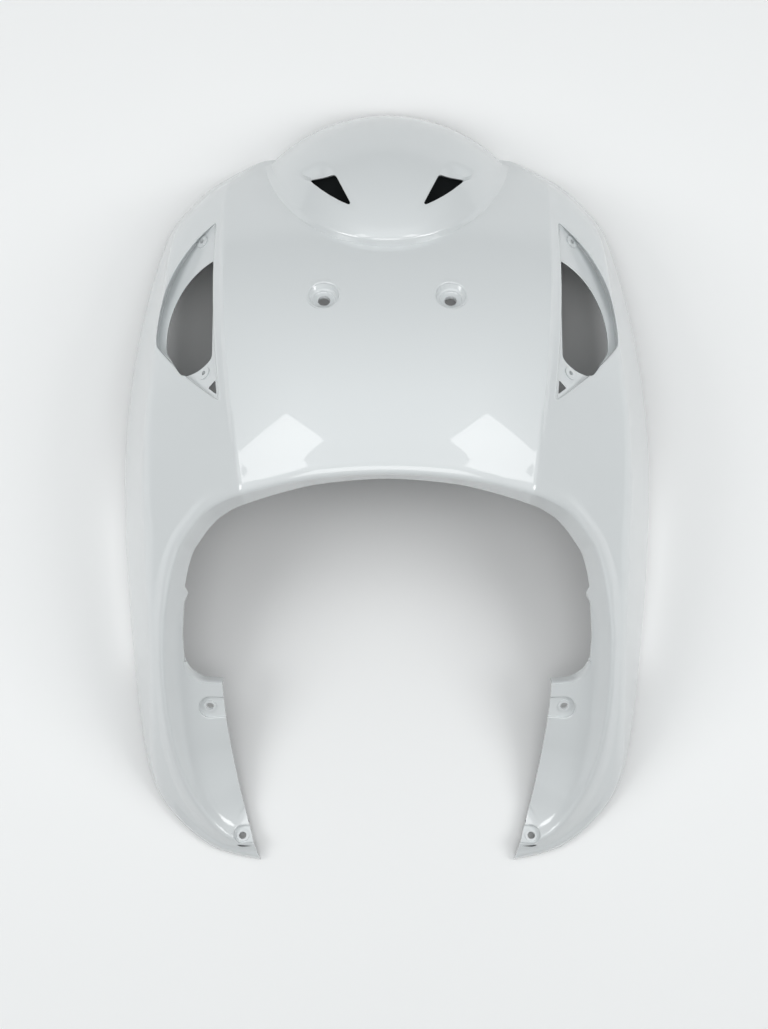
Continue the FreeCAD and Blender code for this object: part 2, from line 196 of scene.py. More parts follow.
def lip_normal(s):
    """Direction in plan from the lip into the wheel arch."""
    if s == 0.0:
        return Vector((0, -1, 0))
    a = frame_at(max(s - 0.15, 0.0))
    b = frame_at(min(s + 0.15, last_frame))
    along = Vector((b[2] - a[2], b[3] - a[3], 0)).normalized()
    return Vector((along.y, -along.x, 0))


bands = {"wall": 8, "crease": 8, "face": 56, "lip": 9, "flange": 4, "toe": 8, "ledge": 8}


def section(s):
    """Outer points of one section of the half shell, rim to ledge, with x positive."""
    rim_x, rim_y, lip_x, lip_y, lean, deep, ledge = frame_at(s)
    deep = deep * flange_deep
    bend = max(0.0, 1.0 - abs(s - 2.0) / 2.0)

    def plan(w):
        y = mix(rim_y, lip_y, w)
        up = (y - frames[2][3]) / (frames[2][1] - frames[2][3])
        return Vector((mix(rim_x, lip_x, w) + bend * line_bow * 4.0 * up * (1.0 - up), y, 0))

    length = math.hypot(lip_x - rim_x, lip_y - rim_y)
    bead = bead_h * mix(0.3, 1.0, ease((s - 1.0) / 3.0)) * mix(1.0, 0.4, ease((s - 10.5) / 2.0))

    def on_face(w):
        p = plan(w)
        return Vector((p.x, p.y, face_z(p.x, p.y) + bead * ease(1.0 - (1.0 - w) * length / bead_w)))

    ahead = frame_at(min(s + 0.1, last_frame))
    behind = frame_at(max(s - 0.1, 0.0))
    along = Vector((ahead[0] - behind[0], ahead[1] - behind[1], 0)).normalized()
    base = rim_z(rim_y)
    low, high = 0.0, 0.9
    for i in range(30):
        mid = (low + high) / 2.0
        far = (plan(mid) - plan(0.0)).cross(along).length
        if base + far / draft < on_face(mid).z:
            low = mid
        else:
            high = mid
    at_crease = max(low, 0.3 / length)
    foot = plan(0.0)
    foot.z = min(base, face_z(foot.x, foot.y))
    crease = on_face(at_crease)
    wall_len = (crease - foot).length
    face_len = length * (1.0 - at_crease)
    set_wall = min(crease_set, 0.45 * wall_len) / wall_len
    set_face = at_crease + min(crease_set, 0.3 * face_len) / length
    set_lip = 1.0 - min(lip_set, 0.3 * face_len) / length
    top = foot.lerp(crease, 1.0 - set_wall)
    points = [foot] + straight(foot, top, bands["wall"])
    points += rounded(top, crease, on_face(set_face), bands["crease"])
    for i in range(1, bands["face"] + 1):
        points.append(on_face(mix(set_face, set_lip, i / bands["face"])))
    lip = on_face(1.0)
    into = lip_normal(s)
    toe = lip + into * lean + Vector((0, 0, -deep))
    down = (toe - lip).normalized()
    first = lip + down * min(0.5 * deep, lip_turn)
    points += rounded(points[-1], lip, first, bands["lip"])
    away = down.lerp(into + Vector((0, 0, -ledge_slope)), ease((s - 7.2) / 0.8))
    back = min(toe_set, 0.45 * deep, 0.3 * ledge)
    last = toe - down * back
    points += straight(first, last, bands["flange"])
    points += rounded(last, toe, toe + away * back, bands["toe"])
    points += straight(points[-1], toe + away * ledge, bands["ledge"])
    return points


print("points in a section:", len(section(0.0)))

# %% [markdown]
# ## Drape a grid over the sections
# `create_grid` makes a flat sheet of squares. Each column of it is then laid on one section, as a
# sheet of plastic is laid on a former. Columns stand closer together at the character line, where the
# light breaks, than out on the legs. The other half is the mirror image.

# %% Drape the main skin


def spread(stops):
    """Places from a list of (start, end, count), each run evenly divided."""
    found = [stops[0][0]]
    for a, b, count in stops:
        found += [mix(a, b, i / count) for i in range(1, count + 1)]
    return found


half_stations = spread([(0.0, 1.8, 32), (1.8, 2.3, 14), (2.3, 4.0, 24), (4.0, 7.0, 42), (7.0, 9.0, 26),
                        (9.0, 13.0, 48)])


def drape(columns):
    """Grid whose columns are lists of points in millimetres, with faces that point outwards."""
    bm = bmesh.new()
    across, along = len(columns), len(columns[0])
    grid = bmesh.ops.create_grid(bm, x_segments=across - 1, y_segments=along - 1, size=0.5)
    for v in grid["verts"]:
        i = round((v.co.x + 0.5) * (across - 1))
        j = round((v.co.y + 0.5) * (along - 1))
        v.co = columns[i][j] * MM
    bmesh.ops.recalc_face_normals(bm, faces=bm.faces[:])
    if sum(f.normal.z for f in bm.faces) < 0.0:
        bmesh.ops.reverse_faces(bm, faces=bm.faces[:])
    return bm


half_net = [section(s) for s in half_stations]
mirrored = [[Vector((-p.x, p.y, p.z)) for p in row] for row in reversed(half_net[1:])]
main_bm = drape(mirrored + half_net)
skin_tree = BVHTree.FromBMesh(main_bm)


def skin_z(p):
    """Height of the main skin over a place in plan."""
    hit = skin_tree.ray_cast(Vector((p.x * MM, p.y * MM, 1.0)), Vector((0, 0, -1)))[0]
    return hit.z / MM if hit else face_z(p.x, p.y)


print("main skin:", len(main_bm.faces), "faces")

# %% [markdown]
# ## The nose
# The nose is a dome that stands a step above the panel. Its lower edge is an arc, and its top edge
# is the rim at the top of the picture. A hollow on each side leads air down into a vent: it is
# deep along one crisp edge and fades out towards the middle of the dome. The nose is a second grid, laid on
# rows of its own, because its lines don't follow the panel's.

# %% Drape the nose
nose_low_y = 186.0
nose_top_y = 299.0
nose_half_w = 93.0
nose_notch_y = 262.0
nose_step = 10.5
nose_start = math.radians(30.0)
nose_end = math.radians(84.0)
nose_edge = 7.5
scoop_deep = 7.0
scoop_corners = [Vector((73.0, 245.0)), Vector((46.0, 255.0)), Vector((20.6, 206.0))]
low_r = (nose_half_w**2 + (nose_notch_y - nose_low_y)**2) / (2.0 * (nose_notch_y - nose_low_y))
low_c = nose_low_y + low_r
low_turn = math.asin(nose_half_w / low_r)
top_r = (nose_half_w**2 + (nose_top_y - nose_notch_y)**2) / (2.0 * (nose_top_y - nose_notch_y))
top_c = nose_top_y - top_r
top_turn = math.asin(nose_half_w / top_r)


def inside_by(p, a, b):
    """Distance of a point from the line a to b, on its left."""
    side = (b - a).normalized()
    return side.x * (p.y - a.y) - side.y * (p.x - a.x)


def scoop(x, y):
    """Depth of the hollow beside a vent."""
    p = Vector((abs(x), y))
    outer, top, low = scoop_corners
    w = ease(inside_by(p, outer, top) / 15.0) * ease(inside_by(p, top, low) / 11.0)
    return scoop_deep * w * ease((inside_by(p, low, outer) + 0.5) / 3.0)


def nose_row(turn):
    """One row of the nose, from the foot of its lower edge to the top rim, at a turn from -1 to 1."""
    out = Vector((math.sin(turn * low_turn), -math.cos(turn * low_turn), 0))
    low = Vector((0, low_c, 0)) + out * low_r
    top = Vector((top_r * math.sin(turn * top_turn), top_c + top_r * math.cos(turn * top_turn), 0))
    step = nose_step * (1.0 - 0.75 * turn * turn)
    crest = face_z(low.x, low.y) + step
    foot = low + out * nose_edge
    foot.z = face_z(foot.x, foot.y) - 2.0

    def dome(a):
        w = (math.sin(a) - math.sin(nose_start)) / (math.sin(nose_end) - math.sin(nose_start))
        p = low.lerp(top, w)
        return Vector((p.x, p.y, max(crest * math.cos(a) / math.cos(nose_start) - scoop(p.x, p.y), 0.0)))

    start = low + out * 1.5
    start.z = crest
    first = dome(mix(nose_start, nose_end, 0.04))
    lower = foot.lerp(start, 0.75)
    row = [foot] + straight(foot, lower, 4) + rounded(lower, start, first, 8)
    rows = 52
    return row + [dome(mix(nose_start, nose_end, 0.04 + 0.96 * i / rows)) for i in range(1, rows + 1)]


nose_turns = [0.985 * i / 44.0 for i in range(-44, 45)]
nose_bm = drape([nose_row(t) for t in nose_turns])
print("nose:", len(nose_bm.faces), "faces")

# %% [markdown]
# ## From skins to a solid
# A moulding has one wall thickness. The Solidify modifier gives each skin that wall on its inner side.
# Booleans then join and cut the pieces, as a tool maker would add and take away metal. Each result is
# kept as a plain mesh, so no modifier is left on the finished piece.

# %% Helpers for solids
PAINT, BARE = 0, 1


def to_object(bm, name):
    mesh = bpy.data.meshes.new(name)
    bm.to_mesh(mesh)
    bm.free()
    obj = bpy.data.objects.new(name, mesh)
    bpy.context.scene.collection.objects.link(obj)
    return obj


def settle(obj):
    """Puts what an object's modifiers make into its mesh."""
    shape = obj.evaluated_get(bpy.context.evaluated_depsgraph_get())
    mesh = bpy.data.meshes.new_from_object(shape)
    obj.modifiers.clear()
    obj.data = mesh


def give_wall(obj, thick):
    shell = obj.modifiers.new("wall", "SOLIDIFY")
    shell.thickness = thick * MM
    shell.offset = -1.0
    shell.material_offset = BARE
    settle(obj)


def combine(obj, tool, operation):
    """Joins or cuts a solid with another, which is then gone."""
    step = obj.modifiers.new("combine", "BOOLEAN")
    step.operation = operation
    step.solver = "MANIFOLD"
    step.object = tool
    settle(obj)
    bpy.data.objects.remove(tool)


slots = [bpy.data.materials.new("gloss_white_paint"), bpy.data.materials.new("bare_black_abs_and_vent_shade")]


def solid(bm, name, thick=None):
    obj = to_object(bm, name)
    for material in slots:
        obj.data.materials.append(material)
    if thick:
        give_wall(obj, thick)
    return obj


fairing = solid(main_bm, "front_fairing_shell", wall)
nose = solid(nose_bm, "nose", wall)
print("walls:", len(fairing.data.polygons), len(nose.data.polygons))

# %% [markdown]
# ## Outlines in plan
# Openings are drawn as arcs and lines in plan, as on a drawing. The outline is divided evenly and
# its corners are softened a little. Extruding the outline's edges again and again, with a new place
# for each loop, makes a tub: a rounded mouth flush with the skin, a wall and a flat floor.

# %% Outlines, prisms and tubs


def arc(a, b, c):
    """Points of the arc through three places, the first left out."""
    ax, ay, bx, by, cx, cy = *a, *b, *c
    d = 2.0 * (ax * (by - cy) + bx * (cy - ay) + cx * (ay - by))
    ux = ((ax**2 + ay**2) * (by - cy) + (bx**2 + by**2) * (cy - ay) + (cx**2 + cy**2) * (ay - by)) / d
    uy = ((ax**2 + ay**2) * (cx - bx) + (bx**2 + by**2) * (ax - cx) + (cx**2 + cy**2) * (bx - ax)) / d
    r = math.hypot(ax - ux, ay - uy)
    start, end = math.atan2(ay - uy, ax - ux), math.atan2(cy - uy, cx - ux)
    turn = (end - start) % (2.0 * math.pi)
    if ((math.atan2(by - uy, bx - ux) - start) % (2.0 * math.pi)) > turn:
        turn -= 2.0 * math.pi
    return [(ux + r * math.cos(start + turn * i / 40.0), uy + r * math.sin(start + turn * i / 40.0))
            for i in range(1, 41)]


def even(points, gap, soften):
    """Closed outline, counter-clockwise, with points a gap apart and corners softened."""
    points = [Vector(p) for p in points]
    area = sum(a.x * b.y - a.y * b.x for a, b in zip(points, points[1:] + points[:1]))
    if area < 0:
        points.reverse()
    lengths = [(b - a).length for a, b in zip(points, points[1:] + points[:1])]
    count = round(sum(lengths) / gap)
    step = sum(lengths) / count
    found, i, gone = [], 0, 0.0
    for k in range(count):
        while gone + lengths[i] < k * step:
            gone += lengths[i]
            i += 1
        found.append(points[i].lerp(points[(i + 1) % len(points)], (k * step - gone) / lengths[i]))
    for k in range(soften):
        found = [(found[i - 1] + found[i] * 2.0 + found[(i + 1) % count]) / 4.0 for i in range(count)]
    return found


def grown(outline, by):
    """Outline moved outwards, each point along its own normal."""
    count = len(outline)
    found = []
    for i, p in enumerate(outline):
        along = (outline[(i + 1) % count] - outline[i - 1]).normalized()
        found.append(p + Vector((along.y, -along.x)) * by)
    return found


def both_sides(bm):
    """Adds the mirror image of a solid on the other side of the fairing."""
    twin = bmesh.ops.duplicate(bm, geom=bm.verts[:] + bm.edges[:] + bm.faces[:])["geom"]
    bmesh.ops.scale(bm, vec=(-1, 1, 1), verts=[g for g in twin if isinstance(g, bmesh.types.BMVert)])
    bmesh.ops.reverse_faces(bm, faces=[g for g in twin if isinstance(g, bmesh.types.BMFace)])


def loops(stack, bare=0):
    """Solid through a stack of outlines, each a list of (x, y, z), closed at both ends. Its first rows are bare."""
    bm = bmesh.new()
    number = bm.verts.layers.int.new("number")
    for i, p in enumerate(stack[0]):
        v = bm.verts.new(Vector(p) * MM)
        v[number] = i
    bm.verts.ensure_lookup_table()
    face = bm.faces.new(bm.verts[:])
    face.material_index = BARE if bare else PAINT
    edges = list(face.edges)
    for row, outline in enumerate(stack[1:]):
        made = bmesh.ops.extrude_edge_only(bm, edges=edges)["geom"]
        edges = [g for g in made if isinstance(g, bmesh.types.BMEdge)]
        for side in (g for g in made if isinstance(g, bmesh.types.BMFace)):
            side.material_index = BARE if row < bare else PAINT
        for v in (g for g in made if isinstance(g, bmesh.types.BMVert)):
            v.co = Vector(outline[v[number]]) * MM
    for cap in bmesh.ops.contextual_create(bm, geom=edges)["faces"]:
        cap.material_index = PAINT
    bmesh.ops.recalc_face_normals(bm, faces=bm.faces[:])
    return bm


def prism(outline, low, high):
    return loops([[(p.x, p.y, low) for p in outline], [(p.x, p.y, high) for p in outline]])


class Plane:
    """Sloping plane through a place on the skin."""

    def __init__(self, at, up):
        self.at, self.up = at, up.normalized()

    def z(self, p, level=0.0):
        off = (p.x - self.at.x) * self.up.x + (p.y - self.at.y) * self.up.y
        return self.at.z - off / self.up.z + level


def skin_plane(x, y, tilt_x=True):
    """Plane that touches the main skin at a place."""
    step = 1.0
    east, west, north, south = [skin_z(Vector(p)) for p in
                                ((x + step, y), (x - step, y), (x, y + step), (x, y - step))]
    dx = (east - west) / (2 * step) if tilt_x else 0.0
    dy = (north - south) / (2 * step)
    return Plane(Vector((x, y, skin_z(Vector((x, y))))), Vector((-dx, -dy, 1.0)))


def tub(outline, skin, floor, mouth, soft=1.2, base=3.0):
    """Walled recess: a mouth rounded by a radius, flush with the skin, a wall, and a floor with a soft corner."""
    stack = [[(p.x, p.y, floor(p) - base) for p in grown(outline, wall)]]
    stack.append([(p.x, p.y, skin(p) - 2.2) for p in grown(outline, wall)])
    stack.append([(p.x, p.y, skin(p) - 1.2) for p in grown(outline, mouth + 1.0)])
    for i in range(7):
        a = math.pi / 2.0 * i / 6.0
        by = mouth * (1.0 - math.sin(a))
        stack.append([(q.x, q.y, skin(q) - mouth * (1.0 - math.cos(a))) for q in grown(outline, by)])
    for i in range(4):
        a = math.pi / 2.0 * i / 3.0
        by = -soft * (1.0 - math.cos(a))
        stack.append([(q.x, q.y, floor(q) + soft * (1.0 - math.sin(a))) for q in grown(outline, by)])
    return loops(stack, bare=2)


print("helpers ready")

# %% [markdown]
# ## Indicator pockets
# Each lamp sits in a pocket with a sloping floor. Most of the floor is open, and the lamp is held by two
# small tabs with a screw hole in a raised ring. A corner of the floor is open as a drain. The skin's own faces
# could be inset and pushed in, but their grid doesn't follow this outline, so the pocket is a tub of its own.

# %% Indicator pocket
pocket_deep = 16.0
pocket_floor = 3.0
pocket_mouth = 1.6
top_tip, side_tip, low_tip = (131.7, 205.6), (175.6, 108.0), (121.8, 62.2)
well = even(arc(top_tip, (164.0, 166.0), side_tip) + arc(side_tip, (149.3, 82.2), low_tip)
            + arc(low_tip, (128.9, 125.0), top_tip), 1.6, 5)
well_plane = skin_plane(150.0, 138.0)
eye = even(arc((131.5, 174.0), (147.0, 163.5), (160.0, 146.0)) + arc((160.0, 146.0), (167.3, 124.0), (167.5, 102.0))
           + [(153.0, 82.5)] + arc((153.0, 82.5), (141.5, 85.5), (129.6, 96.0))
           + arc((129.6, 96.0), (130.9, 135.0), (131.5, 174.0)), 1.6, 3)
drain = even([(131.5, 72.5), (126.0, 78.5), (124.6, 67.5)], 0.8, 2)
tab_holes = [(142.4, 190.4), (135.0, 84.0)]
tab_hole_d = 3.6
tab_boss_d = 10.0
tab_boss_h = 1.2


def floor_z(p):
    return well_plane.z(p, -pocket_deep)


def rod(at, up, r, low, high, count=48):
    """Round bar along a direction, from one level to another."""
    bm = bmesh.new()
    turn = up.to_track_quat("Z", "Y").to_matrix().to_4x4()
    middle = Matrix.Translation((at + up * (low + high) / 2.0) * MM)
    bmesh.ops.create_cone(bm, cap_ends=True, segments=count, radius1=r * MM, radius2=r * MM,
                          depth=(high - low) * MM, matrix=middle @ turn)
    return bm


pocket = solid(tub(well, skin_z, floor_z, pocket_mouth, base=pocket_floor), "pocket")
for x, y in tab_holes:
    foot = Vector((x, y, floor_z(Vector((x, y)))))
    combine(pocket, solid(rod(foot, well_plane.up, tab_boss_d / 2.0, -1.0, tab_boss_h), "boss"), "UNION")
for shape in (eye, drain):
    combine(pocket, solid(prism(shape, -50.0, 250.0), "opening"), "DIFFERENCE")
for x, y in tab_holes:
    foot = Vector((x, y, floor_z(Vector((x, y)))))
    combine(pocket, solid(rod(foot, well_plane.up, tab_hole_d / 2.0, -10.0, 10.0), "hole"), "DIFFERENCE")
print("pocket:", len(pocket.data.polygons), "faces")

# %% [markdown]
# ## Screw recesses
# Two round recesses take the screws to the steering column. Each has a soft mouth, a straight wall, a
# step and a hole through its floor. They are drawn along the mould's pull, tilted back from the floor. A stack of
# rings, each with its own radius and level, gives the section in the way that a lathe would.

# %% Column screw recesses
column_x, column_y = 46.5, 140.5
column_hole_d = 9.0
column_recess_d = 22.0
column_recess_deep = 7.0
cup_plane = skin_plane(column_x, column_y, tilt_x=False)
cup_up = cup_plane.up
lift = Vector((0.0, cup_up.z, -cup_up.y))


def cup_ring(r, level):
    """Circle round the screw's axis, at a level along it."""
    found = []
    for i in range(72):
        t = 2.0 * math.pi * i / 72.0
        found.append(cup_plane.at + Vector((1, 0, 0)) * r * math.cos(t) + lift * r * math.sin(t) + cup_up * level)
    return found


def cup_mouth(r, under):
    """Circle round the screw's axis that lies on the skin."""
    return [Vector((p.x, p.y, face_z(p.x, p.y) - under)) for p in cup_ring(r, 0.0)]


recess_r = column_recess_d / 2.0
stack = [cup_ring(recess_r + wall, -column_recess_deep - wall), cup_ring(recess_r + wall, -2.4),
         cup_mouth(recess_r + 2.8, 1.2)]
for i in range(7):
    a = math.pi / 2.0 * i / 6.0
    stack.append(cup_mouth(recess_r + 1.8 * (1.0 - math.sin(a)), 1.8 * (1.0 - math.cos(a))))
for r, level in ((recess_r - 0.6, -4.2), (recess_r - 1.0, -4.8), (recess_r - 2.2, -5.0), (recess_r - 2.6, -5.3),
                 (recess_r - 2.9, -6.6), (recess_r - 3.5, -column_recess_deep)):
    stack.append(cup_ring(r, level))
cup_bm = loops(stack, bare=2)
cup = solid(cup_bm, "screw_cup")
combine(cup, solid(rod(cup_plane.at, cup_up, column_hole_d / 2.0, -30.0, 10.0), "hole"), "DIFFERENCE")
print("screw cup:", len(cup.data.polygons), "faces")

# %% [markdown]
# ## Seats on the leg ledges
# The ledge of each leg has a round seat near its top and a smaller one at its tip, both open to the inner
# edge. A raised ring round the hole takes the head of the screw. Each seat is made by the tub function again,
# and its hole is cut while it is still a small solid, which is quick.

# %% Leg seats
leg_hole_d = 6.0
leg_recess_deep = 3.0
leg_ring_d = 10.0
seat_spots = [(138.2, -170.5, 116.0, 17.0), (115.5, -276.0, 97.0, 14.0)]
seats, seat_mouths = [], []
for x, y, edge, size in seat_spots:
    r = size / 2.0
    slot = r - 1.5
    shape = even(arc((x, y - r), (x + r, y), (x, y + r)) + [(edge, y + slot), (edge, y - slot)], 1.0, 3)
    plane = skin_plane(x, y, tilt_x=False)
    seat = solid(tub(shape, skin_z, lambda q: plane.z(q, -leg_recess_deep), 1.2, soft=0.8), "seat")
    foot = plane.at - plane.up * leg_recess_deep
    combine(seat, solid(rod(foot, plane.up, leg_ring_d / 2.0, -1.0, 1.1), "ring"), "UNION")
    combine(seat, solid(rod(foot, plane.up, leg_hole_d / 2.0, -9.0, 9.0), "hole"), "DIFFERENCE")
    seats.append(seat)
    seat_mouths.append(prism(grown(shape, 1.15), plane.at.z - 7.0, plane.at.z + 30.0))
print("seats:", [len(seat.data.polygons) for seat in seats])

# %% [markdown]
# ## Join the solids
# The nose goes on over a round gap in the panel. For each recess the skin is opened first, and
# the recess is then joined in, so that its rounded mouth takes over from the skin.

# %% Join nose, pockets, cups and seats


def mirror_object(obj):
    """Adds the mirror image of a small solid to itself."""
    bm = bmesh.new()
    bm.from_mesh(obj.data)
    both_sides(bm)
    bm.to_mesh(obj.data)
    bm.free()
    return obj


def cut_both(bm, name):
    both_sides(bm)
    combine(fairing, solid(bm, name), "DIFFERENCE")


nose_bore = even([(low_r * math.cos(math.radians(d)), low_c + low_r * math.sin(math.radians(d)))
                  for d in range(360)], 3.0, 0)
bore_end = nose_half_w - 4.0
nose_bore = [Vector((max(-bore_end, min(bore_end, p.x)) if p.y > nose_notch_y - 9.0 else p.x, p.y))
             for p in grown(nose_bore, nose_edge - 2.0)]
combine(fairing, solid(prism(nose_bore, -200.0, 400.0), "nose_bore"), "DIFFERENCE")
combine(fairing, nose, "UNION")
cut_both(prism(grown(well, pocket_mouth - 0.05), 20.0, 260.0), "pocket_mouth")
combine(fairing, mirror_object(pocket), "UNION")
cut_both(rod(cup_plane.at, cup_up, recess_r + 1.7, -9.0, 30.0, 72), "cup_mouth")
combine(fairing, mirror_object(cup), "UNION")
for mouth, seat in zip(seat_mouths, seats):
    cut_both(mouth, "seat_mouth")
    combine(fairing, mirror_object(seat), "UNION")
print("fairing with pockets, cups and seats:", len(fairing.data.polygons), "faces")

# %% [markdown]
# ## Vents
# A rounded triangle goes through each hollow of the nose. Behind it a dark sheet stands off from the
# hole. The sheet is painted shade: it stands in for the deep shade inside the nose, so that from the front the
# vent looks black. The triangle is cut straight down, as the mould's two halves would shut it off.

# %% Vents
vent_x, vent_y = 42.0, 223.0
vent_corners = [(vent_x + 16.5, vent_y + 13.0), (vent_x - 2.0, vent_y + 14.8), (vent_x - 14.0, vent_y - 10.0)]
vent = even([vent_corners[1], vent_corners[2]] + arc(vent_corners[2], (vent_x + 5.6, vent_y + 2.4), vent_corners[0]),
            0.8, 4)
vent_ease = 0.8
cut_both(prism(grown(vent, vent_ease), 30.0, 200.0), "vent")
# Dark sheet of painted shade behind each vent: it stands in for the shade deep inside the nose.
vent_shade_sheet = even([(vent_x + 30.0, vent_y + 2.0), (vent_x + 20.0, vent_y + 20.0), (vent_x - 8.0, vent_y + 22.0),
               (vent_x - 22.0, vent_y - 22.0)], 2.0, 3)
vent_shade_sheet_low, vent_shade_sheet_high = 62.0, 64.0
vent_shade_sheet = solid(prism(vent_shade_sheet, vent_shade_sheet_low, vent_shade_sheet_high), "vent_shade_sheet")
for face in vent_shade_sheet.data.polygons:
    face.material_index = BARE
combine(fairing, mirror_object(vent_shade_sheet), "UNION")
print("fairing with vents:", len(fairing.data.polygons), "faces")

# %% [markdown]
# ## Wheel arch and leg edges
# One outline in plan trims the flange over the wheel, the notch at the top of each ledge and the inner
# edge of each leg. The flange could stop at its own edge, but a mould's parting line is one even curve,
# and a single cut through all of it gives that.

# %% Wheel arch
notch_x, notch_y, notch_lip, tip_x = 127.6, -152.0, 4.5, 101.5
arch_clear, leg_clear = 5.0, 1.2


def curve(points, count):
    """Smooth curve through points, the first left out."""
    found = []
    for i in range(len(points) - 1):
        a, b, c, d = points[max(i - 1, 0)], points[i], points[i + 1], points[min(i + 2, len(points) - 1)]
        for k in range(1, count + 1):
            w = k / count
            found.append((b * 2.0 + (c - a) * w + (a * 2.0 - b * 5.0 + c * 4.0 - d) * w**2
                          + (b * 3.0 - a - c * 3.0 + d) * w**3) / 2.0)
    return found


def inside_lip(s, clear):
    row = frame_at(s)
    p = Vector((row[2], row[3], 0)) + lip_normal(s) * (row[4] + clear)
    return Vector((p.x, p.y))


arch = [inside_lip(float(s), arch_clear) for s in range(8)]
end = inside_lip(8.0, leg_clear)
turn_from = (end.x - 0.5, notch_y + 22.0)
turn_to = (end.x - 17.0, notch_y + 1.0)
corner = [Vector(p) for p in arc(turn_from, (end.x - 5.0, notch_y + 7.0), turn_to)]
leg_top = (notch_x, notch_y - 6.0)
leg_edge = [Vector(p) for p in arc(leg_top, (notch_x - 9.0, notch_y - 80.0), (tip_x, -half_h - 1.0))]
half_gap = [arch[0]] + curve(arch, 10) + [inside_lip(7.35, leg_clear), end, Vector(turn_from)] + corner
half_gap += [Vector((notch_x, notch_y)), Vector(leg_top)] + leg_edge + [Vector((tip_x - 2.0, -half_h - 20.0))]
gap = half_gap + [Vector((-p.x, p.y)) for p in reversed(half_gap[1:])]
combine(fairing, solid(prism(gap, -100.0, 300.0), "wheel_gap"), "DIFFERENCE")
print("points in the outline of the gap:", len(gap))

# %% [markdown]
# ## Lip at the notch
# Along the notch the ledge turns down in a short lip, which stiffens the edge. Its section is a
# list of steps out from the edge and down from the skin. The section is swept along the cut edge, loop after loop,
# and grows where it leaves the flange. A last cut takes off what would reach below the floor.

# %% Lip along each notch
lip_small, lip_run = 0.35, 30.0
lip_path = [Vector(turn_from).lerp(corner[0], i / 4.0) for i in range(4)] + corner
lip_path += [corner[-1].lerp(Vector((notch_x + 0.4, notch_y)), i / 8.0) for i in range(1, 9)]
lip_shape = [(-3.0, -2.6), (-1.6, -0.15), (-0.2, -0.1), (0.8, -0.5), (1.8, -1.5), (2.6, -3.2), (notch_lip, -10.0),
             (1.6, -10.0), (0.0, -4.4), (-1.2, -3.2)]
stack = []
for i, p in enumerate(lip_path):
    along = (lip_path[min(i + 1, len(lip_path) - 1)] - lip_path[max(i - 1, 0)]).normalized()
    into = Vector((along.y, -along.x))
    if into.y < 0.0:
        into.negate()
    top = skin_z(p - into * 1.5)
    size = mix(lip_small, 1.0, ease(i / lip_run))
    stack.append([(p.x + into.x * o * size, p.y + into.y * o * size, top + h * size) for o, h in lip_shape])
lip_bm = loops(stack)
both_sides(lip_bm)
combine(fairing, solid(lip_bm, "notch_lip"), "UNION")
below = bmesh.new()
bmesh.ops.create_cube(below, size=1.0, matrix=Matrix.Translation((0, 0, -0.5)))
bmesh.ops.scale(below, vec=(2, 2, 1), verts=below.verts[:])
combine(fairing, solid(below, "floor_cut"), "DIFFERENCE")
print("fairing:", len(fairing.data.polygons), "faces")

# %% [markdown]
# ## Smooth forms and crisp edges
# A moulding has soft forms, and crisp edges only at the ends of its wall and round its holes. Shading every
# face smooth gives the soft forms. A bevel on each cut edge would be too small to see here, so an edge is
# kept sharp where it turns by a large angle.

# %% Smooth shading
sharp_from = math.radians(32.0)
for face in fairing.data.polygons:
    face.use_smooth = True
fairing.data.set_sharp_from_angle(angle=sharp_from)
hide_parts("front_fairing")
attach(fairing, "root")
print("sharp edges:", sum(edge.use_edge_sharp for edge in fairing.data.edges))

# %% [markdown]
# ## Paint and plastic
# The front is sprayed: a white base under a clear coat. The back is ABS as it came out of the mould. Both
# are even finishes, so a few shader nodes do without pictures. Colours are written in hex, as on a
# screen, and one function turns them to the linear values that a shader reads.

# %% Helpers for materials


def linear(code):
    """Linear colour of an sRGB hex code."""
    parts = [int(code[i:i + 2], 16) / 255.0 for i in (1, 3, 5)]
    return [c / 12.92 if c <= 0.04045 else ((c + 0.055) / 1.055)**2.4 for c in parts] + [1.0]


def node(tree, kind, settings=None, links=None):
    """Adds a shader node, sets its sockets or properties, and links its inputs from (node, output)."""
    made = tree.nodes.new(kind)
    for name, value in (settings or {}).items():
        if isinstance(name, int) or name in made.inputs:
            made.inputs[name].default_value = value
        else:
            setattr(made, name, value)
    for name, (source, output) in (links or {}).items():
        tree.links.new(source.outputs[output], made.inputs[name])
    return made


for material in slots:
    material.use_nodes = True
    material.node_tree.nodes.clear()
print("white of the paint, linear:", [round(c, 3) for c in linear("#d6dadb")])

# %% Materials
# Gloss white paint, sprayed: the clear coat mirrors the room sharply over a softer white. A spray gun leaves
# orange peel, small waves about 3 mm long, which bend the reflections a little.
peel_mm = 3.125
tree = slots[PAINT].node_tree
place = node(tree, "ShaderNodeTexCoord")
peel = node(tree, "ShaderNodeTexNoise", {"Scale": 1000.0 / peel_mm, "Detail": 1.0}, {"Vector": (place, "Object")})
bump = node(tree, "ShaderNodeBump", {"Strength": 0.003, "Distance": 0.001}, {"Height": (peel, "Fac")})
paint = node(tree, "ShaderNodeBsdfPrincipled",
             {"Base Color": linear("#d6dadb"), "Roughness": 0.32, "IOR": 1.5, "Coat Weight": 1.0,
              "Coat Roughness": 0.03, "Coat IOR": 1.6}, {"Normal": (bump, "Normal")})
node(tree, "ShaderNodeOutputMaterial", {}, {"Surface": (paint, "BSDF")})

# Bare black ABS, as moulded: a dull dark face with hardly a highlight. The sheet of painted shade behind each vent
# is made of it too, so that the vents look deep and black.
tree = slots[BARE].node_tree
bare = node(tree, "ShaderNodeBsdfPrincipled",
            {"Base Color": linear("#24282a"), "Roughness": 0.7, "Specular IOR Level": 0.2})
node(tree, "ShaderNodeOutputMaterial", {}, {"Surface": (bare, "BSDF")})
print("materials:", [material.name for material in slots])

# %% [markdown]
# ## Floor
# The part lies on a pale sheet, which takes its shadow. One large square is enough. It lies a little
# below the rim, because two faces at one height would fight for the same place in the picture.

